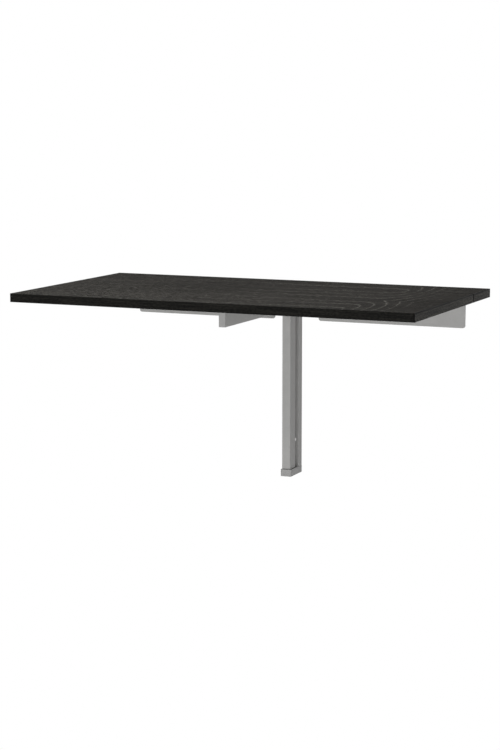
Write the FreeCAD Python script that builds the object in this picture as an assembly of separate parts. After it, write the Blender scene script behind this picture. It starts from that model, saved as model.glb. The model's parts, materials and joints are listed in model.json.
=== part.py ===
import FreeCAD, Part
import os

from FreeCAD import Vector

# Wall mounted drop leaf table, in millimetres.
# X runs to the right along the wall, Y into the wall, Z up.
# The origin is on the wall, on the centre line, on the brackets' row of wall screws.

# Table top
table_length = 900.0
shelf_depth = 120.0
leaf_depth = 380.0
board_thickness = 18.6
band_thickness = 1.0
arris_radius = 0.7
seam_gap = 3.0

# Wall brackets
bracket_length = 342.5
bracket_clear_of_centre = 53.25
bracket_drop = 70.4
bracket_reach = 40.0
bracket_plate = 3.0
bracket_bend_radius = 2.0
bracket_corner_radius = 5.5
bracket_hole_inset = 76.25
bracket_screw_setback = 24.0
wall_screw_drop = 39.4
wall_hole_radius = 2.75

# Wood screws
pan_head_radius = 4.0
pan_head_height = 2.4
wood_screw_radius = 2.0
wood_screw_bite = 12.0
sunk_head_radius = 3.6
recess_span = 4.0
recess_slot = 1.0
recess_depth = 1.1

# Hinges
hinge_width = 60.0
hinge_flap = 34.0
hinge_plate = 1.6
hinge_pin_radius = 1.75
hinge_knuckle_radius = 3.25
hinge_knuckle_gap = 0.4
hinge_end_inset = 50.0
hinge_corner_radius = 4.0
hinge_pin_overhang = 0.8

# Wall rail and its washers
rail_width = 25.0
rail_depth = 18.4
rail_wall = 1.8
rail_corner_radius = 0.8
rail_lower_hole_drop = 302.0
cup_washer_rim = 3.2
cup_washer_height = 3.0
cup_washer_slope = 2.0

# Head bracket and foot cap
support_height = 419.4
head_plate = 4.0
cap_height = 16.0
cap_side_margin = 0.05
cap_front_margin = 1.75
cap_corner_radius = 2.0
cap_edge_radius = 0.6
boss_length = 18.0

# Swivelling post
post_gap = 14.15
post_width = 19.4
post_depth = 30.75
post_wall = 1.8
post_corner_radius = 1.0
post_top_gap = 1.0
post_plug_length = 26.0
pivot_pin_radius = 5.0
pivot_pin_grip = 16.0
pivot_pin_root = 10.0
thrust_washer_thickness = 1.0
thrust_washer_rim = 3.0

# Knuckle between post and arm
yoke_plate = 3.4
yoke_height = 26.0
ear_radius = 9.0
fold_clearance = 2.5
knuckle_pin_radius = 4.0
knuckle_pin_head_radius = 6.0
knuckle_pin_head = 2.0

# Support arm, end cap and pad
arm_width = 15.0
arm_height = 33.8
arm_drop = 7.9
arm_wall = 1.5
arm_corner_radius = 1.0
arm_setback = 91.0
arm_root_gap = 14.0
tongue_tail = 44.0
rivet_radius = 2.5
rivet_head_radius = 4.0
rivet_head_height = 1.2
arm_cap_flange = 2.0
arm_cap_plug = 15.0
arm_cap_edge_radius = 0.6
pad_length = 30.0
pad_width = 12.0
pad_setback = 9.0
pad_corner_radius = 3.0
pad_stem_radius = 3.0
pad_stem_barb = 2.0
pad_clearance = 0.2

# Fits
running_clearance = 0.05
side_clearance = 0.3
seat_clearance = 0.02
plug_clearance = 0.1
pin_end_gap = 1.0
cut_overrun = 1.0
bore_corner_radius = 0.4

# Places of the hinge screws, as shares of the hinge's width and of its flap
hinge_screw_shares = ((-0.36, 0.40), (0.0, 0.72), (0.36, 0.40))
# Places of the two rivets, as shares of the tongue's tail
rivet_shares = (0.28, 0.72)
# How straight an edge has to run along an axis to be counted as parallel to it
parallel_share = 0.999

ALONG_X = Vector(1, 0, 0)
ALONG_Y = Vector(0, 1, 0)
ALONG_Z = Vector(0, 0, 1)

# Levels and places that follow from the sizes above
half_length = table_length / 2
underside_z = wall_screw_drop
top_z = underside_z + board_thickness
front_y = -(shelf_depth + leaf_depth)
shelf_edge_y = -shelf_depth + seam_gap / 2
leaf_edge_y = -shelf_depth - seam_gap / 2
hinge_y = -shelf_depth
hinge_z = underside_z - hinge_knuckle_radius
hinge_places = {
    "left": hinge_end_inset - half_length,
    "centre": 0.0,
    "right": half_length - hinge_end_inset,
}
bracket_mid_x = bracket_clear_of_centre + bracket_length / 2
bracket_hole_reach = bracket_length / 2 - bracket_hole_inset
cap_bottom_z = underside_z - support_height
cap_top_z = cap_bottom_z + cap_height
cap_half_width = rail_width / 2 + cap_side_margin
head_bottom_z = underside_z - head_plate
post_back_y = -(rail_depth + post_gap)
post_axis_y = post_back_y - post_depth / 2
post_front_y = post_back_y - post_depth
post_bottom_z = cap_top_z + thrust_washer_thickness
post_top_z = head_bottom_z - post_top_gap
cap_front_y = post_front_y - cap_front_margin
arm_top_z = underside_z - arm_drop
arm_bottom_z = arm_top_z - arm_height
knuckle_y = post_front_y - yoke_plate - fold_clearance - arm_height / 2
knuckle_z = arm_top_z - arm_height / 2
arm_root_y = knuckle_y - arm_root_gap
arm_tip_y = front_y + arm_setback
arm_tube_end_y = arm_tip_y + arm_cap_flange
tongue_end_y = arm_root_y - tongue_tail
pad_front_y = arm_tip_y + pad_setback
head_screw_y = -(rail_depth + post_gap / 2)
head_screw_x = cap_half_width / 2


def block(low, high):
    """A box from its lowest to its highest corner."""
    size = [high[i] - low[i] for i in range(len(low))]
    return Part.makeBox(size[0], size[1], size[2], Vector(*low))


def edges_along(shape, axis):
    """The straight edges of a shape that run along an axis."""
    found = []
    for edge in shape.Edges:
        run = edge.Vertexes[-1].Point.sub(edge.Vertexes[0].Point)
        if run.Length > 0 and abs(run.dot(axis)) > parallel_share * run.Length:
            found.append(edge)
    return found


def rounded_block(low, high, axis, radius):
    """A box whose four edges along one axis are rounded."""
    shape = block(low, high)
    return shape.makeFillet(radius, edges_along(shape, axis))


def rod(radius, length, base, axis):
    return Part.makeCylinder(radius, length, base, axis)


def joined(shapes):
    return shapes[0].multiFuse(shapes[1:]).removeSplitter()


def outer_edges(shape, axis, direction, limit):
    """Edges along an axis that lie at or past a limit in a direction."""
    return [e for e in edges_along(shape, axis) if e.CenterOfMass.dot(direction) >= limit - seat_clearance]


def edge_band(low, high, axis, outward):
    """A strip of edging with its two long outer arrises eased."""
    strip = block(low, high)
    reach = max(Vector(*low).dot(outward), Vector(*high).dot(outward))
    return strip.makeFillet(arris_radius, outer_edges(strip, axis, outward, reach))


def end_bands(near_y, far_y):
    """The bands on the two ends of a board."""
    bands = []
    inner = half_length - band_thickness
    for side in (-1, 1):
        ends = sorted((side * inner, side * half_length))
        low = (ends[0], far_y, underside_z)
        high = (ends[1], near_y, top_z)
        bands.append(edge_band(low, high, ALONG_Y, ALONG_X * side))
    return bands


def long_band(inner_y, outer_y):
    """A band along the whole length of a board."""
    low = (-half_length, min(inner_y, outer_y), underside_z)
    high = (half_length, max(inner_y, outer_y), top_z)
    outward = ALONG_Y if outer_y > inner_y else ALONG_Y * -1
    return edge_band(low, high, ALONG_X, outward)


def board_core(near_y, far_y, screw_places, hole_radius):
    """A board inside its edge bands, with pilot holes in its underside."""
    inner = half_length - band_thickness
    core = block((-inner, far_y, underside_z), (inner, near_y, top_z))
    for x, y in screw_places:
        base = Vector(x, y, underside_z - cut_overrun)
        depth = wood_screw_bite + pin_end_gap + cut_overrun
        core = core.cut(rod(hole_radius, depth, base, ALONG_Z))
    return core


def bracket_screw_places(side):
    """Screws through one bracket's upper flange into the shelf."""
    reaches = (-bracket_hole_reach, 0.0, bracket_hole_reach)
    return [(side * bracket_mid_x + reach, -bracket_screw_setback) for reach in reaches]


def head_screw_places():
    return [(-head_screw_x, head_screw_y), (head_screw_x, head_screw_y)]


def hinge_screw_places(side):
    """Screws of all hinges on one side of the seam: 1 is the shelf's side, -1 the leaf's."""
    places = []
    for x in hinge_places.values():
        for across, out in hinge_screw_shares:
            places.append((x + across * hinge_width, hinge_y + side * out * hinge_flap))
    return places


def bracket(side):
    """An angle plate with one flange on the wall and one under the shelf."""
    inner = side * bracket_clear_of_centre
    outer = side * (bracket_clear_of_centre + bracket_length)
    left, right = sorted((inner, outer))
    low_z = underside_z - bracket_drop
    wall_flange = block((left, -bracket_plate, low_z), (right, 0, underside_z))
    shelf_flange = block((left, -bracket_reach, underside_z - bracket_plate), (right, 0, underside_z))
    angle = joined([wall_flange, shelf_flange])
    inside_y = -bracket_plate
    inside_z = underside_z - bracket_plate
    outside = [e for e in edges_along(angle, ALONG_X) if on_line(e, 0, underside_z)]
    angle = angle.makeFillet(bracket_plate + bracket_bend_radius, outside)
    inside = [e for e in edges_along(angle, ALONG_X) if on_line(e, inside_y, inside_z)]
    angle = angle.makeFillet(bracket_bend_radius, inside)
    angle = angle.makeFillet(bracket_corner_radius, plate_corners(angle, low_z))
    for reach in (-bracket_hole_reach, bracket_hole_reach):
        base = Vector(side * bracket_mid_x + reach, -bracket_plate - cut_overrun, 0)
        angle = angle.cut(rod(wall_hole_radius, bracket_plate + 2 * cut_overrun, base, ALONG_Y))
    for x, y in bracket_screw_places(side):
        base = Vector(x, y, underside_z - bracket_plate - cut_overrun)
        hole = rod(wood_screw_radius + running_clearance, bracket_plate + 2 * cut_overrun, base, ALONG_Z)
        angle = angle.cut(hole)
    return angle


def on_line(edge, y, z):
    """Whether an edge along X runs through a point of the YZ plane."""
    middle = edge.CenterOfMass
    return abs(middle.y - y) < seat_clearance and abs(middle.z - z) < seat_clearance


def plate_corners(angle, low_z):
    """The free corners of the two flanges: short edges across the plate."""
    corners = []
    for edge in edges_along(angle, ALONG_Y):
        if abs(edge.CenterOfMass.z - low_z) < seat_clearance:
            corners.append(edge)
    for edge in edges_along(angle, ALONG_Z):
        if abs(edge.CenterOfMass.y + bracket_reach) < seat_clearance:
            corners.append(edge)
    return corners


def cross_recess(x, y, low_z):
    """The cross in a screw head that faces down."""
    span = recess_span / 2
    slot = recess_slot / 2
    low = low_z - cut_overrun
    high = low_z + recess_depth
    return joined([
        block((x - span, y - slot, low), (x + span, y + slot, high)),
        block((x - slot, y - span, low), (x + slot, y + span, high)),
    ])


def pan_screw(x, y, seat_z):
    """A pan head screw driven upwards, with its head under the seat."""
    head = rod(pan_head_radius, pan_head_height, Vector(x, y, seat_z - pan_head_height), ALONG_Z)
    low_rim = [e for e in head.Edges if e.Closed and e.CenterOfMass.z < seat_z - seat_clearance]
    head = head.makeFillet(pan_head_height / 2, low_rim)
    shank_length = underside_z - seat_z + wood_screw_bite
    shank = rod(wood_screw_radius, shank_length, Vector(x, y, seat_z), ALONG_Z)
    return joined([head, shank]).cut(cross_recess(x, y, seat_z - pan_head_height))


def sunk_screw(x, y, plate):
    """A flat head screw driven upwards, flush with the lower face of a plate."""
    seat_z = underside_z - plate
    head_height = sunk_head_radius - wood_screw_radius
    head = Part.makeCone(sunk_head_radius, wood_screw_radius, head_height, Vector(x, y, seat_z), ALONG_Z)
    shank_length = plate - head_height + wood_screw_bite
    shank = rod(wood_screw_radius, shank_length, Vector(x, y, seat_z + head_height), ALONG_Z)
    return joined([head, shank]).cut(cross_recess(x, y, seat_z))


def sunk_hole(x, y, plate):
    """The cut in a plate that a flat head screw sits in."""
    seat_z = underside_z - plate
    head_height = sunk_head_radius - wood_screw_radius
    shank_radius = wood_screw_radius + running_clearance
    head_radius = sunk_head_radius + running_clearance
    head = Part.makeCone(head_radius, shank_radius, head_height, Vector(x, y, seat_z), ALONG_Z)
    shank = rod(shank_radius, plate + cut_overrun, Vector(x, y, seat_z), ALONG_Z)
    return joined([head, shank])


def knuckle_spans(side):
    """The stretches of the barrel, from the hinge's middle, that belong to one plate."""
    count = 5
    step = hinge_width / count
    first = 0 if side > 0 else 1
    spans = []
    for index in range(first, count, 2):
        start = -hinge_width / 2 + index * step
        spans.append((start + hinge_knuckle_gap / 2, start + step - hinge_knuckle_gap / 2))
    return spans


def hinge_half(x, side):
    """One plate of a hinge with its knuckles: side 1 is under the shelf, -1 under the leaf."""
    root = hinge_knuckle_radius + side_clearance
    near = hinge_y + side * root
    far = hinge_y + side * hinge_flap
    low_y, high_y = sorted((near, far))
    low_z = underside_z - hinge_plate
    half = hinge_width / 2
    plate = block((x - half, low_y, low_z), (x + half, high_y, underside_z))
    corners = [e for e in edges_along(plate, ALONG_Z) if abs(e.CenterOfMass.y - far) < seat_clearance]
    pieces = [plate.makeFillet(hinge_corner_radius, corners)]
    for start, end in knuckle_spans(side):
        low_tab, high_tab = sorted((hinge_y, near))
        pieces.append(block((x + start, low_tab, low_z), (x + end, high_tab, underside_z)))
        base = Vector(x + start, hinge_y, hinge_z)
        pieces.append(rod(hinge_knuckle_radius, end - start, base, ALONG_X))
    half_hinge = joined(pieces)
    clearance = seat_clearance if side > 0 else running_clearance
    bore_base = Vector(x - half - cut_overrun, hinge_y, hinge_z)
    bore = rod(hinge_pin_radius + clearance, hinge_width + 2 * cut_overrun, bore_base, ALONG_X)
    half_hinge = half_hinge.cut(bore)
    for across, out in hinge_screw_shares:
        place_y = hinge_y + side * out * hinge_flap
        half_hinge = half_hinge.cut(sunk_hole(x + across * hinge_width, place_y, hinge_plate))
    return half_hinge


def hinge_pin(x):
    length = hinge_width + 2 * hinge_pin_overhang
    return rod(hinge_pin_radius, length, Vector(x - length / 2, hinge_y, hinge_z), ALONG_X)


def wall_rail():
    """A box section against the wall, drilled through for its wall screws."""
    half = rail_width / 2
    low = (-half, -rail_depth, cap_top_z)
    high = (half, 0, head_bottom_z)
    rail = rounded_block(low, high, ALONG_Z, rail_corner_radius)
    inner_low = (rail_wall - half, rail_wall - rail_depth, cap_top_z - cut_overrun)
    inner_high = (half - rail_wall, -rail_wall, head_bottom_z + cut_overrun)
    rail = rail.cut(rounded_block(inner_low, inner_high, ALONG_Z, bore_corner_radius))
    for z in rail_hole_levels():
        base = Vector(0, -rail_depth - cut_overrun, z)
        rail = rail.cut(rod(wall_hole_radius, rail_depth + 2 * cut_overrun, base, ALONG_Y))
    return rail


def rail_hole_levels():
    return (0.0, -rail_lower_hole_drop)


def cup_washer(z):
    """A raised washer on the rail's front, under the head of a wall screw."""
    face = Vector(0, -rail_depth, z)
    outer = wall_hole_radius + cup_washer_rim
    forward = ALONG_Y * -1
    cup = Part.makeCone(outer, outer - cup_washer_slope, cup_washer_height, face, forward)
    hole_base = face + ALONG_Y * cut_overrun
    return cup.cut(rod(wall_hole_radius, cup_washer_height + 2 * cut_overrun, hole_base, forward))


def end_plate(low_z, high_z):
    """The outline shared by the head bracket and the foot cap, square at the wall."""
    plate = block((-cap_half_width, cap_front_y, low_z), (cap_half_width, 0, high_z))
    front = [e for e in edges_along(plate, ALONG_Z) if e.CenterOfMass.y < cap_front_y + seat_clearance]
    return plate.makeFillet(cap_corner_radius, front)


def rail_boss(low_z, high_z):
    """The plug of an end plate that fills the rail's bore."""
    inset = rail_wall + plug_clearance
    half = rail_width / 2 - inset
    low = (-half, inset - rail_depth, low_z)
    return rounded_block(low, (half, -inset, high_z), ALONG_Z, bore_corner_radius)


def head_bracket():
    """The plate under the shelf that closes the rail and holds the upper pivot."""
    bracket_shape = joined([
        end_plate(head_bottom_z, underside_z),
        rail_boss(head_bottom_z - boss_length, head_bottom_z + head_plate / 2),
    ])
    pin_base = Vector(0, post_axis_y, head_bottom_z - cut_overrun)
    pin_hole = rod(pivot_pin_radius + seat_clearance, head_plate + 2 * cut_overrun, pin_base, ALONG_Z)
    bracket_shape = bracket_shape.cut(pin_hole)
    for x, y in head_screw_places():
        bracket_shape = bracket_shape.cut(sunk_hole(x, y, head_plate))
    return bracket_shape


def foot_cap():
    """The moulded foot that closes the rail and carries the post's lower pivot."""
    foot = end_plate(cap_bottom_z, cap_top_z)
    foot = foot.makeFillet(cap_edge_radius, [e for e in foot.Edges if is_cap_rim(e)])
    foot = joined([foot, rail_boss(cap_top_z - cap_height / 2, cap_top_z + boss_length)])
    pin_base = Vector(0, post_axis_y, cap_top_z - pivot_pin_root)
    pin_hole = rod(pivot_pin_radius + seat_clearance, pivot_pin_root + cut_overrun, pin_base, ALONG_Z)
    return foot.cut(pin_hole)


def is_cap_rim(edge):
    """Whether an edge is on the foot cap's lower or upper rim, away from the wall."""
    box = edge.BoundBox
    return box.ZLength < seat_clearance and box.YMin < -seat_clearance


def upper_pivot_pin():
    length = head_plate + post_top_gap + pivot_pin_grip
    return rod(pivot_pin_radius, length, Vector(0, post_axis_y, underside_z - length), ALONG_Z)


def lower_pivot_pin():
    length = pivot_pin_root + thrust_washer_thickness + pivot_pin_grip
    return rod(pivot_pin_radius, length, Vector(0, post_axis_y, cap_top_z - pivot_pin_root), ALONG_Z)


def thrust_washer():
    base = Vector(0, post_axis_y, cap_top_z)
    inner = pivot_pin_radius + running_clearance
    ring = rod(inner + thrust_washer_rim, thrust_washer_thickness, base, ALONG_Z)
    hole_base = base - ALONG_Z * cut_overrun
    return ring.cut(rod(inner, thrust_washer_thickness + 2 * cut_overrun, hole_base, ALONG_Z))


def post_tube():
    half = post_width / 2
    low = (-half, post_front_y, post_bottom_z)
    high = (half, post_back_y, post_top_z)
    tube = rounded_block(low, high, ALONG_Z, post_corner_radius)
    inner_low = (post_wall - half, post_front_y + post_wall, post_bottom_z - cut_overrun)
    inner_high = (half - post_wall, post_back_y - post_wall, post_top_z + cut_overrun)
    return tube.cut(rounded_block(inner_low, inner_high, ALONG_Z, bore_corner_radius))


def post_plug(low_z, bore_z):
    """A plug in one end of the post with a blind bore for a pivot pin."""
    inset = post_wall + plug_clearance
    half = post_width / 2 - inset
    low = (-half, post_front_y + inset, low_z)
    high = (half, post_back_y - inset, low_z + post_plug_length)
    plug = rounded_block(low, high, ALONG_Z, bore_corner_radius)
    depth = pivot_pin_grip + pin_end_gap + cut_overrun
    bore = rod(pivot_pin_radius + running_clearance, depth, Vector(0, post_axis_y, bore_z), ALONG_Z)
    return plug.cut(bore)


def lower_post_plug():
    return post_plug(post_bottom_z, post_bottom_z - cut_overrun)


def upper_post_plug():
    return post_plug(post_top_z - post_plug_length, post_top_z - pivot_pin_grip - pin_end_gap)


def knuckle_yoke():
    """A fork on the post's front face with two ears for the knuckle pin."""
    half = post_width / 2
    web_front_y = post_front_y - yoke_plate
    web_low = (-half, web_front_y, knuckle_z - yoke_height / 2)
    web_high = (half, post_front_y, knuckle_z + yoke_height / 2)
    pieces = [block(web_low, web_high)]
    for low_x in (-half, half - yoke_plate):
        ear_low = (low_x, knuckle_y, knuckle_z - ear_radius)
        ear_high = (low_x + yoke_plate, post_front_y, knuckle_z + ear_radius)
        pieces.append(block(ear_low, ear_high))
        pieces.append(rod(ear_radius, yoke_plate, Vector(low_x, knuckle_y, knuckle_z), ALONG_X))
    yoke = joined(pieces)
    return yoke.cut(knuckle_bore(seat_clearance))


def knuckle_bore(clearance):
    base = Vector(-post_width / 2 - cut_overrun, knuckle_y, knuckle_z)
    return rod(knuckle_pin_radius + clearance, post_width + 2 * cut_overrun, base, ALONG_X)


def knuckle_pin():
    """A headed pin through the yoke, peened over on its far side."""
    half = post_width / 2
    shank = rod(knuckle_pin_radius, post_width, Vector(-half, knuckle_y, knuckle_z), ALONG_X)
    pieces = [shank]
    for base_x in (-half - knuckle_pin_head, half):
        base = Vector(base_x, knuckle_y, knuckle_z)
        pieces.append(rod(knuckle_pin_head_radius, knuckle_pin_head, base, ALONG_X))
    return joined(pieces)


def rivet_places():
    return [arm_root_y - share * tongue_tail for share in rivet_shares]


def rivet_hole(y):
    base = Vector(-arm_width / 2 - cut_overrun, y, knuckle_z)
    return rod(rivet_radius + seat_clearance, arm_width + 2 * cut_overrun, base, ALONG_X)


def arm_tongue():
    """The fitting in the arm's root that turns on the knuckle pin."""
    half = post_width / 2 - yoke_plate - side_clearance
    head = rod(ear_radius, 2 * half, Vector(-half, knuckle_y, knuckle_z), ALONG_X)
    neck_low = (-half, arm_root_y, knuckle_z - ear_radius)
    neck_high = (half, knuckle_y, knuckle_z + ear_radius)
    inset = arm_wall + plug_clearance
    tail_half = arm_width / 2 - inset
    tail_low = (-tail_half, tongue_end_y, arm_bottom_z + inset)
    tail_high = (tail_half, arm_root_y, arm_top_z - inset)
    tongue = joined([head, block(neck_low, neck_high), block(tail_low, tail_high)])
    tongue = tongue.cut(knuckle_bore(running_clearance))
    for y in rivet_places():
        tongue = tongue.cut(rivet_hole(y))
    return tongue


def arm_rivet(y):
    half = arm_width / 2
    pieces = [rod(rivet_radius, arm_width, Vector(-half, y, knuckle_z), ALONG_X)]
    for side in (-1, 1):
        base = Vector(side * half, y, knuckle_z)
        tip_radius = rivet_head_radius - rivet_head_height
        pieces.append(Part.makeCone(rivet_head_radius, tip_radius, rivet_head_height, base, ALONG_X * side))
    return joined(pieces)


def support_arm():
    half = arm_width / 2
    low = (-half, arm_tube_end_y, arm_bottom_z)
    high = (half, arm_root_y, arm_top_z)
    arm = rounded_block(low, high, ALONG_Y, arm_corner_radius)
    inner_low = (arm_wall - half, arm_tube_end_y - cut_overrun, arm_bottom_z + arm_wall)
    inner_high = (half - arm_wall, arm_root_y + cut_overrun, arm_top_z - arm_wall)
    arm = arm.cut(block(inner_low, inner_high))
    for y in rivet_places():
        arm = arm.cut(rivet_hole(y))
    stem_base = Vector(0, pad_front_y + pad_length / 2, arm_top_z - arm_wall - cut_overrun)
    stem_hole = rod(pad_stem_radius + seat_clearance, arm_wall + 2 * cut_overrun, stem_base, ALONG_Z)
    return arm.cut(stem_hole)


def arm_end_cap():
    """The plug that closes the arm's tip."""
    half = arm_width / 2
    flange_low = (-half, arm_tip_y, arm_bottom_z)
    flange_high = (half, arm_tube_end_y, arm_top_z)
    flange = rounded_block(flange_low, flange_high, ALONG_Y, arm_corner_radius)
    front_rim = [e for e in flange.Edges if e.BoundBox.YMax < arm_tip_y + seat_clearance]
    flange = flange.makeFillet(arm_cap_edge_radius, front_rim)
    inset = arm_wall + plug_clearance
    plug_half = half - inset
    plug_low = (-plug_half, arm_tube_end_y, arm_bottom_z + inset)
    plug_high = (plug_half, arm_tube_end_y + arm_cap_plug, arm_top_z - arm_wall - pad_stem_barb - inset)
    return joined([flange, block(plug_low, plug_high)])


def arm_pad():
    """A soft block on the arm's tip that the leaf rests on, with a stem pressed into the arm."""
    half = pad_width / 2
    low = (-half, pad_front_y, arm_top_z)
    high = (half, pad_front_y + pad_length, underside_z - pad_clearance)
    body = rounded_block(low, high, ALONG_Z, pad_corner_radius)
    stem_length = arm_wall + pad_stem_barb
    stem_base = Vector(0, pad_front_y + pad_length / 2, arm_top_z - stem_length)
    return joined([body, rod(pad_stem_radius, stem_length, stem_base, ALONG_Z)])


def shelf_nodes():
    pilot = wood_screw_radius + seat_clearance
    screws = hinge_screw_places(1) + head_screw_places()
    for side in (-1, 1):
        screws = screws + bracket_screw_places(side)
    near, far = -band_thickness, shelf_edge_y + band_thickness
    return {
        "shelf_board": board_core(near, far, screws, pilot),
        "shelf_end_bands": Part.makeCompound(end_bands(near, far)),
        "shelf_wall_band": long_band(near, 0.0),
        "shelf_seam_band": long_band(far, shelf_edge_y),
    }


def leaf_nodes():
    pilot = wood_screw_radius + seat_clearance
    near, far = leaf_edge_y - band_thickness, front_y + band_thickness
    return {
        "leaf_board": board_core(near, far, hinge_screw_places(-1), pilot),
        "leaf_end_bands": Part.makeCompound(end_bands(near, far)),
        "leaf_seam_band": long_band(near, leaf_edge_y),
        "leaf_front_band": long_band(far, front_y),
    }


def hinge_nodes():
    nodes = {}
    for name, x in hinge_places.items():
        nodes["hinge_" + name + "_shelf_plate"] = hinge_half(x, 1)
        nodes["hinge_" + name + "_leaf_plate"] = hinge_half(x, -1)
        nodes["hinge_" + name + "_pin"] = hinge_pin(x)
    for name, side in (("shelf", 1), ("leaf", -1)):
        screws = [sunk_screw(x, y, hinge_plate) for x, y in hinge_screw_places(side)]
        nodes["hinge_" + name + "_screws"] = Part.makeCompound(screws)
    return nodes


def bracket_nodes():
    seat_z = underside_z - bracket_plate
    screws = []
    for side in (-1, 1):
        screws += [pan_screw(x, y, seat_z) for x, y in bracket_screw_places(side)]
    return {
        "left_bracket": bracket(-1),
        "right_bracket": bracket(1),
        "bracket_screws": Part.makeCompound(screws),
    }


def rail_nodes():
    head_screws = [sunk_screw(x, y, head_plate) for x, y in head_screw_places()]
    return {
        "wall_rail": wall_rail(),
        "rail_cup_washers": Part.makeCompound([cup_washer(z) for z in rail_hole_levels()]),
        "head_bracket": head_bracket(),
        "head_bracket_screws": Part.makeCompound(head_screws),
        "upper_pivot_pin": upper_pivot_pin(),
        "foot_cap": foot_cap(),
        "lower_pivot_pin": lower_pivot_pin(),
        "thrust_washer": thrust_washer(),
    }


def post_nodes():
    return {
        "post_tube": post_tube(),
        "upper_post_plug": upper_post_plug(),
        "lower_post_plug": lower_post_plug(),
        "knuckle_yoke": knuckle_yoke(),
        "knuckle_pin": knuckle_pin(),
    }


def arm_nodes():
    return {
        "support_arm": support_arm(),
        "arm_tongue": arm_tongue(),
        "arm_rivets": Part.makeCompound([arm_rivet(y) for y in rivet_places()]),
        "arm_end_cap": arm_end_cap(),
        "arm_pad": arm_pad(),
    }


os.makedirs("parts", exist_ok=True)
groups = (shelf_nodes, leaf_nodes, hinge_nodes, bracket_nodes, rail_nodes, post_nodes, arm_nodes)
for make_group in groups:
    for node, shape in make_group().items():
        shape.exportStep(os.path.join("parts", node + ".step"))
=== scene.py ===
import json
import math

import bpy
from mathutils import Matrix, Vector


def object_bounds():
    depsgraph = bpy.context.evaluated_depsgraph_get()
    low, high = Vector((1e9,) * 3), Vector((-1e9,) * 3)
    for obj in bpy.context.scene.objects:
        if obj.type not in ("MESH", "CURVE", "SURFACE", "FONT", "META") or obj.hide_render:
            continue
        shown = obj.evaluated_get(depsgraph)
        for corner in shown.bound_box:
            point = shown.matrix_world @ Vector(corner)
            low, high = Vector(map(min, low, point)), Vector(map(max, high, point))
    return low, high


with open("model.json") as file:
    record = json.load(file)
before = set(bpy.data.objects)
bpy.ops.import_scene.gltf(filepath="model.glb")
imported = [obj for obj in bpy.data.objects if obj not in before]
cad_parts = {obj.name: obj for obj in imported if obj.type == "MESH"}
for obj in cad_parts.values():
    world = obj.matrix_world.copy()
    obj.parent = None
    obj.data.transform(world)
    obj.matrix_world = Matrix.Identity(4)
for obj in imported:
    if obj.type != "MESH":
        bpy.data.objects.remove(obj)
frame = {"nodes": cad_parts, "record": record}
cad_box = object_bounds()

# Lengths are in metres, in the CAD frame: X along the wall, Y into the wall, Z up.

# Camera, solved from the corners of the table top. A camera with no turn looks straight down.
CAMERA_PLACE = (1.659, -4.048, 0.494)
CAMERA_YAW_DEG = 23.68
CAMERA_PITCH_DEG = -8.474
CAMERA_LEVEL_DEG = 90
CAMERA_LENS_MM = 93.6
CAMERA_SENSOR_MM = 36.0

# Background and floor. The floor lies below the picture, and its plain share keeps the shadow.
WHITE = (1, 1, 1, 1)
BACKGROUND_WHITE = 1.0
WORLD_LIGHT = 0.17
FLOOR_DROP = 2.9
FLOOR_SIZE = 9.0
FLOOR_GREY = (0.80, 0.80, 0.80, 1)
FLOOR_ROUGHNESS = 0.9
FLOOR_WHITE_SHARE = 0.92

# Square lamps: place, power in watts, side
LAMPS = {
    "key": ((-0.9, -3.5, -0.4), 30.6, 1.4),
    "front": ((0.3, -4.0, -0.5), 21.4, 1.0),
    "fill": ((3.4, -3.0, -0.5), 52.3, 1.2),
    "top": ((-1.2, -1.6, 2.5), 98.2, 2.6),
    "back": ((-2.2, 2.8, -1.3), 32.8, 1.8),
    "bounce": ((0.6, -1.0, -2.4), 19.0, 3.0),
}
LAMP_TARGET = (0.0, -0.2, 0.0)

# Colours, linear
VENEER_DARK = (0.0105, 0.0096, 0.0086, 1)
VENEER_LIGHT = (0.0310, 0.0288, 0.0260, 1)
VENEER_FLECK = (0.190, 0.183, 0.165, 1)
LONG_BAND_DARK = (0.0012, 0.0011, 0.0010, 1)
# The second tone of each band is the paler one towards the back along Y, a painted sheen
LONG_BAND_TONES = ((0.0136, 0.0131, 0.0113, 1), (0.0150, 0.0145, 0.0125, 1))
END_BAND_DARK = (0.0010, 0.0009, 0.0008, 1)
END_BAND_TONES = ((0.063, 0.0595, 0.0528, 1), (0.096, 0.0908, 0.0806, 1))
COAT_GREY = (0.415, 0.412, 0.404, 1)
COAT_SHADE = (0.365, 0.362, 0.355, 1)
# The support arm has the same powder coat made lighter, as painted light against the leaf's shadow on it
ARM_LIGHTENED_COAT_GREY = (0.478, 0.474, 0.465, 1)
ARM_LIGHTENED_COAT_SHADE = (0.420, 0.417, 0.409, 1)
PLASTIC_GREY = (0.305, 0.302, 0.297, 1)
PLASTIC_SHADE = (0.267, 0.264, 0.260, 1)
STEEL_LIGHT = (0.36, 0.355, 0.345, 1)
STEEL_SHADE = (0.29, 0.286, 0.279, 1)
# The cup washers have the same plated steel made brighter, a painted highlight
HIGHLIT_STEEL_LIGHT = (0.60, 0.60, 0.59, 1)
HIGHLIT_STEEL_SHADE = (0.52, 0.52, 0.51, 1)
NYLON_PALE = (0.55, 0.54, 0.50, 1)
NYLON_SHADE = (0.46, 0.45, 0.42, 1)
RUBBER_BLACK = (0.020, 0.020, 0.020, 1)
RUBBER_GREY = (0.040, 0.040, 0.039, 1)

# Below, a noise has its cells per metre along X, Y and Z, its detail and its roughness. A span has two limits
# and what they become, where that isn't 0 and 1. A bump has its depth and its strength.

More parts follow.
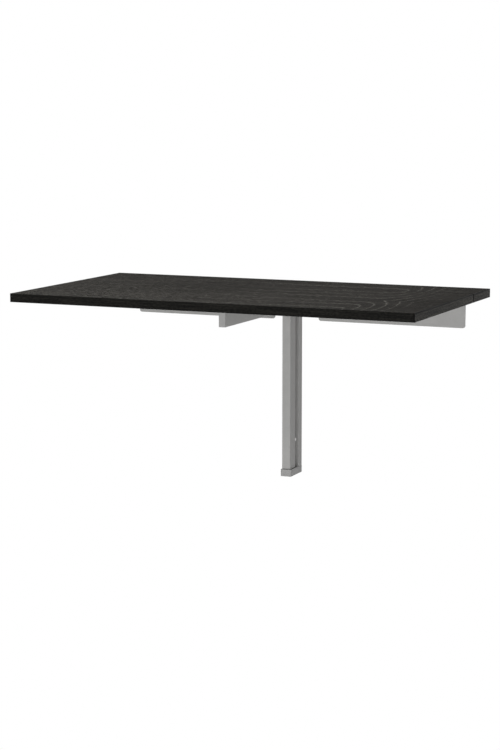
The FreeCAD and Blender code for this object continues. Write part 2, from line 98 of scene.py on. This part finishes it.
# Growth rings of the veneer: hearts of the arches (X, Y), whose tips point towards +X
ARCH_HEARTS = ((0.285, -0.470), (0.290, -0.080))
ARCH_BLUNTNESS = 0.34
ARCH_SQUARENESS = 2.1
RING_STEP = 0.060
RING_BEND = 0.075
RING_BEND_NOISE = ((2.4, 4.0, 4.0), 3.0, 0.5)
RING_DRIFT = 0.75
RING_DRIFT_NOISE = ((2.2, 11.0, 11.0), 5.0, 0.6)
RING_EDGE = (0.02, 0.22, 1.0, 0.0)
RINGS_GROW_X = (-0.15, 0.33, 0.18, 1.5)
RINGS_FADE_X = (0.345, 0.42, 1.0, 0.12)
RING_PATCH_NOISE = ((3.0, 4.0, 4.0), 2.0, 0.5)
RING_PATCH_SHIFT = (4.0, 2.0, 0.0)
RING_PATCH = (0.36, 0.60, 0.55, 1.0)
RING_BETWEEN_PORES = (0.0, 1.0, 0.20, 1.0)

# Pores and ground of the veneer
CLOUD_NOISE = ((1.7, 5.0, 5.0), 4.0, 0.6)
CLOUD_PATCH = (0.40, 0.62, 0.30, 1.0)
CLOUD_SHARE = 0.4
FIBRE_NOISE = ((9.0, 300.0, 300.0), 6.0, 0.72)
FIBRE_SHARE = 0.6
FIBRE_HEIGHT = 0.5
CLUSTER_NOISE = ((95.0, 80.0, 80.0), 4.0, 0.68)
CLUSTER_EDGE = (0.46, 0.68)
CLUSTER_PORES = 0.85
PORE_NOISE = ((75.0, 1050.0, 1050.0), 2.0, 0.5)
PORE_EDGE = (0.50, 0.64)
EVEN_PORES_X = (-0.4, 0.3, 0.42, 0.09)
EVEN_PORES_Y = (-0.50, -0.10, 1.7, 0.75)
CALM_END_X = (0.33, 0.45, 1.0, 0.62)
GROUND_TONE = (0.40, 0.62)
VENEER_BUMP = (0.0003, 0.5)
VENEER_ROUGHNESS = (0.0, 1.0, 0.44, 0.62)
VENEER_GLOSS = 0.0006

# Edge bands: cells per metre along and across the edge, where the bands are painted paler along Y as painted
# sheen, and their dark lines (axis, where a line starts, where it is full); the arris lines are painted shade
STREAK_CELLS = (9.0, 520.0)
STREAK_GRAIN = (5.0, 0.7)
STREAK_SHARE = 0.55
BROKEN_CELLS = (150.0, 420.0)
BROKEN_GRAIN = (4.0, 0.7)
BROKEN_SHARE = 0.45
BAND_TONE = (0.43, 0.60)
BAND_BUMP = (0.0003, 0.5)
BAND_ROUGHNESS = (0.3, 0.7, 0.44, 0.58)
BAND_GLOSS = 0.030
SHELF_SHEEN_Y = (-0.115, -0.010)
LEAF_SHEEN_Y = (-0.300, -0.125)
# Painted shade: a dark line along the upper arris of the end bands
ARRIS_SHADE_LINES = (("Z", 0.0550, 0.0560),)
CORNER_LINES = (("X", 0.4466, 0.4474), ("X", -0.4466, -0.4474))

# Powder coat
PEEL_NOISE = ((950.0, 950.0, 950.0), 3.0, 0.5)
MOTTLE_NOISE = ((35.0, 35.0, 35.0), 4.0, 0.6)
MOTTLE_SHARE = 0.5
SPECK_NOISE = ((2600.0, 2600.0, 2600.0), 1.0, 0.5)
SPECK_SHARE = 0.5
COAT_TONE = (0.35, 0.65)
COAT_BUMP = (0.00012, 0.4)
COAT_ROUGHNESS = (0.3, 0.7, 0.46, 0.58)
COAT_GLOSS = 0.16

# Moulded pieces: cells of the skin per metre and roughness of each material
PLASTIC_SKIN = 1400.0
PLASTIC_ROUGHNESS = (0.3, 0.7, 0.45, 0.58)
NYLON_SKIN = 900.0
NYLON_ROUGHNESS = (0.3, 0.7, 0.38, 0.5)
RUBBER_SKIN = 1100.0
RUBBER_ROUGHNESS = (0.3, 0.7, 0.7, 0.85)
SKIN_GRAIN = (3.0, 0.5)
MOULDED_CLOUD_NOISE = ((28.0, 28.0, 28.0), 3.0, 0.5)
MOULDED_TONE = (0.35, 0.65)
MOULDED_BUMP = (0.00012, 0.45)
MOULDED_GLOSS = 0.62

# Plated steel
DRAWN_NOISE = ((90.0, 1500.0, 1500.0), 3.0, 0.5)
PLATE_NOISE = ((120.0, 120.0, 120.0), 4.0, 0.6)
PLATE_TONE = (0.32, 0.68)
STEEL_BUMP = (0.00006, 0.3)
STEEL_ROUGHNESS = (0.3, 0.7, 0.26, 0.42)

# Sockets of a colour mix
MIX_FACTOR, MIX_FIRST, MIX_SECOND, MIX_RESULT = 0, 6, 7, 2


class Graph:
    """Adds nodes to a material and links them, so that a shader reads as a few short lines."""

    def __init__(self, name):
        self.material = bpy.data.materials.new(name)
        self.material.use_nodes = True
        self.tree = self.material.node_tree
        self.shader = self.tree.nodes["Principled BSDF"]

    def put(self, socket, value):
        if isinstance(value, bpy.types.NodeSocket):
            self.tree.links.new(value, socket)
        else:
            socket.default_value = value

    def add(self, kind, values, **settings):
        made = self.tree.nodes.new(kind)
        for key, value in settings.items():
            setattr(made, key, value)
        for key, value in values.items():
            self.put(made.inputs[key], value)
        return made

    def place(self, stretch=(1, 1, 1), shift=(0, 0, 0)):
        """The point on the piece, in metres, scaled along each axis and shifted."""
        coordinates = self.add("ShaderNodeTexCoord", {}).outputs["Object"]
        values = {"Vector": coordinates, "Scale": stretch, "Location": shift}
        return self.add("ShaderNodeMapping", values).outputs["Vector"]

    def point(self):
        """The X, Y and Z of the point on the piece."""
        return self.add("ShaderNodeSeparateXYZ", {"Vector": self.place()}).outputs

    def noise(self, stretch, detail, roughness, shift=(0, 0, 0)):
        place = self.place(stretch, shift)
        values = {"Vector": place, "Scale": 1.0, "Detail": detail, "Roughness": roughness}
        return self.add("ShaderNodeTexNoise", values).outputs["Fac"]

    def math(self, operation, a, b=0.0):
        return self.add("ShaderNodeMath", {0: a, 1: b}, operation=operation).outputs[0]

    def plus(self, a, b):
        return self.math("ADD", a, b)

    def minus(self, a, b):
        return self.math("SUBTRACT", a, b)

    def times(self, a, b):
        return self.math("MULTIPLY", a, b)

    def over(self, a, b):
        return self.math("DIVIDE", a, b)

    def remap(self, value, low, high, to_low=0.0, to_high=1.0):
        """A value between two limits, eased and clamped, on a new range."""
        values = {"Value": value, "From Min": low, "From Max": high, "To Min": to_low, "To Max": to_high}
        return self.add("ShaderNodeMapRange", values, interpolation_type="SMOOTHSTEP").outputs["Result"]

    def blend(self, factor, first, second):
        values = {MIX_FACTOR: factor, MIX_FIRST: first, MIX_SECOND: second}
        return self.add("ShaderNodeMix", values, data_type="RGBA").outputs[MIX_RESULT]

    def bump(self, height, depth, strength):
        values = {"Height": height, "Distance": depth, "Strength": strength}
        self.put(self.shader.inputs["Normal"], self.add("ShaderNodeBump", values).outputs["Normal"])

    def finish(self, **sockets):
        for name, value in sockets.items():
            self.put(self.shader.inputs[name.replace("_", " ")], value)
        return self.material


def ring_reach(graph, point, bend, tip_x, middle_y):
    """How far a point lies from the heart of one set of arches, in rings."""
    past_tip = graph.math("MAXIMUM", graph.minus(point["X"], tip_x), 0.0)
    along = graph.over(past_tip, ARCH_BLUNTNESS)
    across = graph.math("ABSOLUTE", graph.minus(graph.plus(point["Y"], bend), middle_y))
    powers = [graph.math("POWER", part, ARCH_SQUARENESS) for part in (along, across)]
    return graph.over(graph.math("POWER", graph.plus(*powers), 1 / ARCH_SQUARENESS), RING_STEP)


def early_wood(graph, point):
    """The porous start of each growth ring: rings run along X and turn over in blunt arches."""
    bend = graph.times(graph.noise(*RING_BEND_NOISE), RING_BEND)
    drift = graph.times(graph.noise(*RING_DRIFT_NOISE), RING_DRIFT)
    reaches = [ring_reach(graph, point, bend, *heart) for heart in ARCH_HEARTS]
    turn = graph.math("FRACT", graph.plus(graph.math("MINIMUM", *reaches), drift))
    shown = graph.times(graph.remap(point["X"], *RINGS_GROW_X), graph.remap(point["X"], *RINGS_FADE_X))
    patch = graph.remap(graph.noise(*RING_PATCH_NOISE, RING_PATCH_SHIFT), *RING_PATCH)
    return graph.times(graph.times(graph.remap(turn, *RING_EDGE), shown), patch)


def veneer():
    """Brown-black stained open pore veneer with its grain along X."""
    graph = Graph("dark_veneer")
    point = graph.point()
    cloud = graph.noise(*CLOUD_NOISE)
    fibre = graph.noise(*FIBRE_NOISE)
    cluster = graph.remap(graph.noise(*CLUSTER_NOISE), *CLUSTER_EDGE)
    pores = graph.remap(graph.noise(*PORE_NOISE), *PORE_EDGE)
    in_clusters = graph.times(graph.times(cluster, graph.remap(cloud, *CLOUD_PATCH)), CLUSTER_PORES)
    even = graph.times(graph.remap(point["X"], *EVEN_PORES_X), graph.remap(point["Y"], *EVEN_PORES_Y))
    scattered = graph.times(pores, graph.plus(in_clusters, even))
    in_rings = graph.times(early_wood(graph, point), graph.remap(pores, *RING_BETWEEN_PORES))
    pale = graph.times(graph.plus(scattered, in_rings), graph.remap(point["X"], *CALM_END_X))
    tone = graph.plus(graph.times(fibre, FIBRE_SHARE), graph.times(cloud, CLOUD_SHARE))
    ground = graph.blend(graph.remap(tone, *GROUND_TONE), VENEER_DARK, VENEER_LIGHT)
    colour = graph.blend(pale, ground, VENEER_FLECK)
    graph.bump(graph.minus(graph.times(fibre, FIBRE_HEIGHT), pale), *VENEER_BUMP)
    rough = graph.remap(cluster, *VENEER_ROUGHNESS)
    return graph.finish(Base_Color=colour, Roughness=rough, Specular_IOR_Level=VENEER_GLOSS)


def edge_band(name, grain_axis, dark, tones, sheen_span, dark_lines):
    """Edge veneer with fine streaks along the edge, a tone painted paler along Y as painted sheen, and dark
    lines, the arris ones painted shade.
    """
    graph = Graph(name)
    point = graph.point()

    def grain(along, across):
        return [along if axis == grain_axis else across for axis in "XYZ"]

    streak = graph.noise(grain(*STREAK_CELLS), *STREAK_GRAIN)
    broken = graph.noise(grain(*BROKEN_CELLS), *BROKEN_GRAIN)
    mixed = graph.plus(graph.times(streak, STREAK_SHARE), graph.times(broken, BROKEN_SHARE))
    # Painted sheen: the band turns paler towards the back along Y
    light = graph.blend(graph.remap(point["Y"], *sheen_span), *tones)
    colour = graph.blend(graph.remap(mixed, *BAND_TONE), dark, light)
    # Dark lines along the band edges; the arris line on the end bands is painted shade
    for axis, start, full in dark_lines:
        colour = graph.blend(graph.remap(point[axis], start, full), colour, dark)
    graph.bump(mixed, *BAND_BUMP)
    rough = graph.remap(streak, *BAND_ROUGHNESS)
    return graph.finish(Base_Color=colour, Roughness=rough, Specular_IOR_Level=BAND_GLOSS)


def powder_coat(name, light, shade):
    """Light grey powder coat with its fine orange peel."""
    graph = Graph(name)
    mottle = graph.noise(*MOTTLE_NOISE)
    speck = graph.noise(*SPECK_NOISE)
    mixed = graph.plus(graph.times(mottle, MOTTLE_SHARE), graph.times(speck, SPECK_SHARE))
    colour = graph.blend(graph.remap(mixed, *COAT_TONE), shade, light)
    graph.bump(graph.noise(*PEEL_NOISE), *COAT_BUMP)
    rough = graph.remap(mottle, *COAT_ROUGHNESS)
    return graph.finish(Base_Color=colour, Roughness=rough, Specular_IOR_Level=COAT_GLOSS)


def moulded(name, light, shade, skin_cells, roughness):
    """A moulded surface with a spark eroded grain."""
    graph = Graph(name)
    skin = graph.noise((skin_cells, skin_cells, skin_cells), *SKIN_GRAIN)
    cloud = graph.noise(*MOULDED_CLOUD_NOISE)
    colour = graph.blend(graph.remap(cloud, *MOULDED_TONE), shade, light)
    graph.bump(skin, *MOULDED_BUMP)
    rough = graph.remap(skin, *roughness)
    return graph.finish(Base_Color=colour, Roughness=rough, Specular_IOR_Level=MOULDED_GLOSS)


def plated_steel(name, light, shade):
    """Zinc plated steel with fine drawing lines and a cloudy plate."""
    graph = Graph(name)
    cloud = graph.noise(*PLATE_NOISE)
    colour = graph.blend(graph.remap(cloud, *PLATE_TONE), shade, light)
    graph.bump(graph.noise(*DRAWN_NOISE), *STEEL_BUMP)
    rough = graph.remap(cloud, *STEEL_ROUGHNESS)
    return graph.finish(Base_Color=colour, Roughness=rough, Metallic=1.0)


def dress(names, material):
    for name in names:
        for slot in frame["nodes"][name].material_slots:
            slot.material = material


def dress_nodes():
    dress(["shelf_board", "leaf_board"], veneer())
    long_bands = ["shelf_wall_band", "shelf_seam_band", "leaf_seam_band", "leaf_front_band"]
    band = edge_band("dark_long_band", "X", LONG_BAND_DARK, LONG_BAND_TONES, LEAF_SHEEN_Y, CORNER_LINES)
    dress(long_bands, band)
    for board, sheen_span in (("shelf", SHELF_SHEEN_Y), ("leaf", LEAF_SHEEN_Y)):
        band = edge_band(board + "_end_band", "Y", END_BAND_DARK, END_BAND_TONES, sheen_span, ARRIS_SHADE_LINES)
        dress([board + "_end_bands"], band)
    coated = ["left_bracket", "right_bracket", "wall_rail", "head_bracket", "post_tube", "knuckle_yoke"]
    dress(coated, powder_coat("grey_powder_coat", COAT_GREY, COAT_SHADE))
    # Painted light: the arm's coat is the grey powder coat made lighter against the leaf's shadow
    dress(["support_arm"], powder_coat("arm_powder_coat_painted_lighter", ARM_LIGHTENED_COAT_GREY, ARM_LIGHTENED_COAT_SHADE))
    plastic = moulded("grey_plastic", PLASTIC_GREY, PLASTIC_SHADE, PLASTIC_SKIN, PLASTIC_ROUGHNESS)
    dress(["foot_cap", "arm_end_cap", "upper_post_plug", "lower_post_plug"], plastic)
    nylon = moulded("white_nylon", NYLON_PALE, NYLON_SHADE, NYLON_SKIN, NYLON_ROUGHNESS)
    dress(["thrust_washer"], nylon)
    rubber = moulded("black_rubber", RUBBER_GREY, RUBBER_BLACK, RUBBER_SKIN, RUBBER_ROUGHNESS)
    dress(["arm_pad"], rubber)
    subparts = frame["record"]["subparts"]
    plated = [subpart["node"] for subpart in subparts if subpart["material_slot"] == "plated_steel"]
    dress(plated, plated_steel("plated_steel", STEEL_LIGHT, STEEL_SHADE))
    # Painted highlight: the washers get a brighter copy of the plated steel
    dress(["rail_cup_washers"], plated_steel("plated_steel_painted_highlight", HIGHLIT_STEEL_LIGHT, HIGHLIT_STEEL_SHADE))


def mix_shaders(tree, first, second):
    mix = tree.nodes.new("ShaderNodeMixShader")
    tree.links.new(first.outputs[0], mix.inputs[1])
    tree.links.new(second.outputs[0], mix.inputs[2])
    return mix


def show_instead(tree, shown, plain):
    """Shows one shader to camera, mirror and glass rays, and the plain one to the light."""
    path = tree.nodes.new("ShaderNodeLightPath")
    seen = path.outputs["Is Camera Ray"]
    for ray in ("Is Glossy Ray", "Is Transmission Ray"):
        either = tree.nodes.new("ShaderNodeMath")
        either.operation = "MAXIMUM"
        tree.links.new(seen, either.inputs[0])
        tree.links.new(path.outputs[ray], either.inputs[1])
        seen = either.outputs[0]
    mix = mix_shaders(tree, plain, shown)
    tree.links.new(seen, mix.inputs[0])
    return mix


def make_world():
    world = bpy.data.worlds.new("studio")
    bpy.context.scene.world = world
    world.use_nodes = True
    tree = world.node_tree
    plain = tree.nodes["Background"]
    plain.inputs["Color"].default_value = WHITE
    plain.inputs["Strength"].default_value = WORLD_LIGHT
    white = tree.nodes.new("ShaderNodeBackground")
    white.inputs["Color"].default_value = WHITE
    white.inputs["Strength"].default_value = BACKGROUND_WHITE
    mix = show_instead(tree, white, plain)
    tree.links.new(mix.outputs[0], tree.nodes["World Output"].inputs["Surface"])


def make_floor():
    low = Vector(cad_box[0])
    bpy.ops.mesh.primitive_plane_add(size=FLOOR_SIZE, location=(0, 0, low.z - FLOOR_DROP))
    floor = bpy.context.object
    floor.name = "floor"
    material = bpy.data.materials.new("pale_floor")
    material.use_nodes = True
    tree = material.node_tree
    plain = tree.nodes["Principled BSDF"]
    plain.inputs["Base Color"].default_value = FLOOR_GREY
    plain.inputs["Roughness"].default_value = FLOOR_ROUGHNESS
    white = tree.nodes.new("ShaderNodeEmission")
    white.inputs["Color"].default_value = WHITE
    white.inputs["Strength"].default_value = BACKGROUND_WHITE
    pale = mix_shaders(tree, plain, white)
    pale.inputs[0].default_value = FLOOR_WHITE_SHARE
    mix = show_instead(tree, pale, plain)
    tree.links.new(mix.outputs[0], tree.nodes["Material Output"].inputs["Surface"])
    floor.data.materials.append(material)


def make_lamp(name, place, power, side):
    lamp = bpy.data.lights.new(name, "AREA")
    lamp.energy = power
    lamp.size = side
    holder = bpy.data.objects.new(name, lamp)
    holder.location = place
    aim = Vector(LAMP_TARGET) - Vector(place)
    holder.rotation_euler = aim.to_track_quat("-Z", "Y").to_euler()
    bpy.context.collection.objects.link(holder)


def make_camera():
    lens = bpy.data.cameras.new("camera")
    lens.lens = CAMERA_LENS_MM
    lens.sensor_width = CAMERA_SENSOR_MM
    camera = bpy.data.objects.new("camera", lens)
    camera.location = CAMERA_PLACE
    tilt = math.radians(CAMERA_LEVEL_DEG + CAMERA_PITCH_DEG)
    camera.rotation_euler = (tilt, 0, math.radians(CAMERA_YAW_DEG))
    bpy.context.collection.objects.link(camera)
    bpy.context.scene.camera = camera


make_camera()
make_world()
make_floor()
for lamp_name, lamp_values in LAMPS.items():
    make_lamp(lamp_name, *lamp_values)
bpy.context.scene.view_settings.view_transform = "Standard"
dress_nodes()
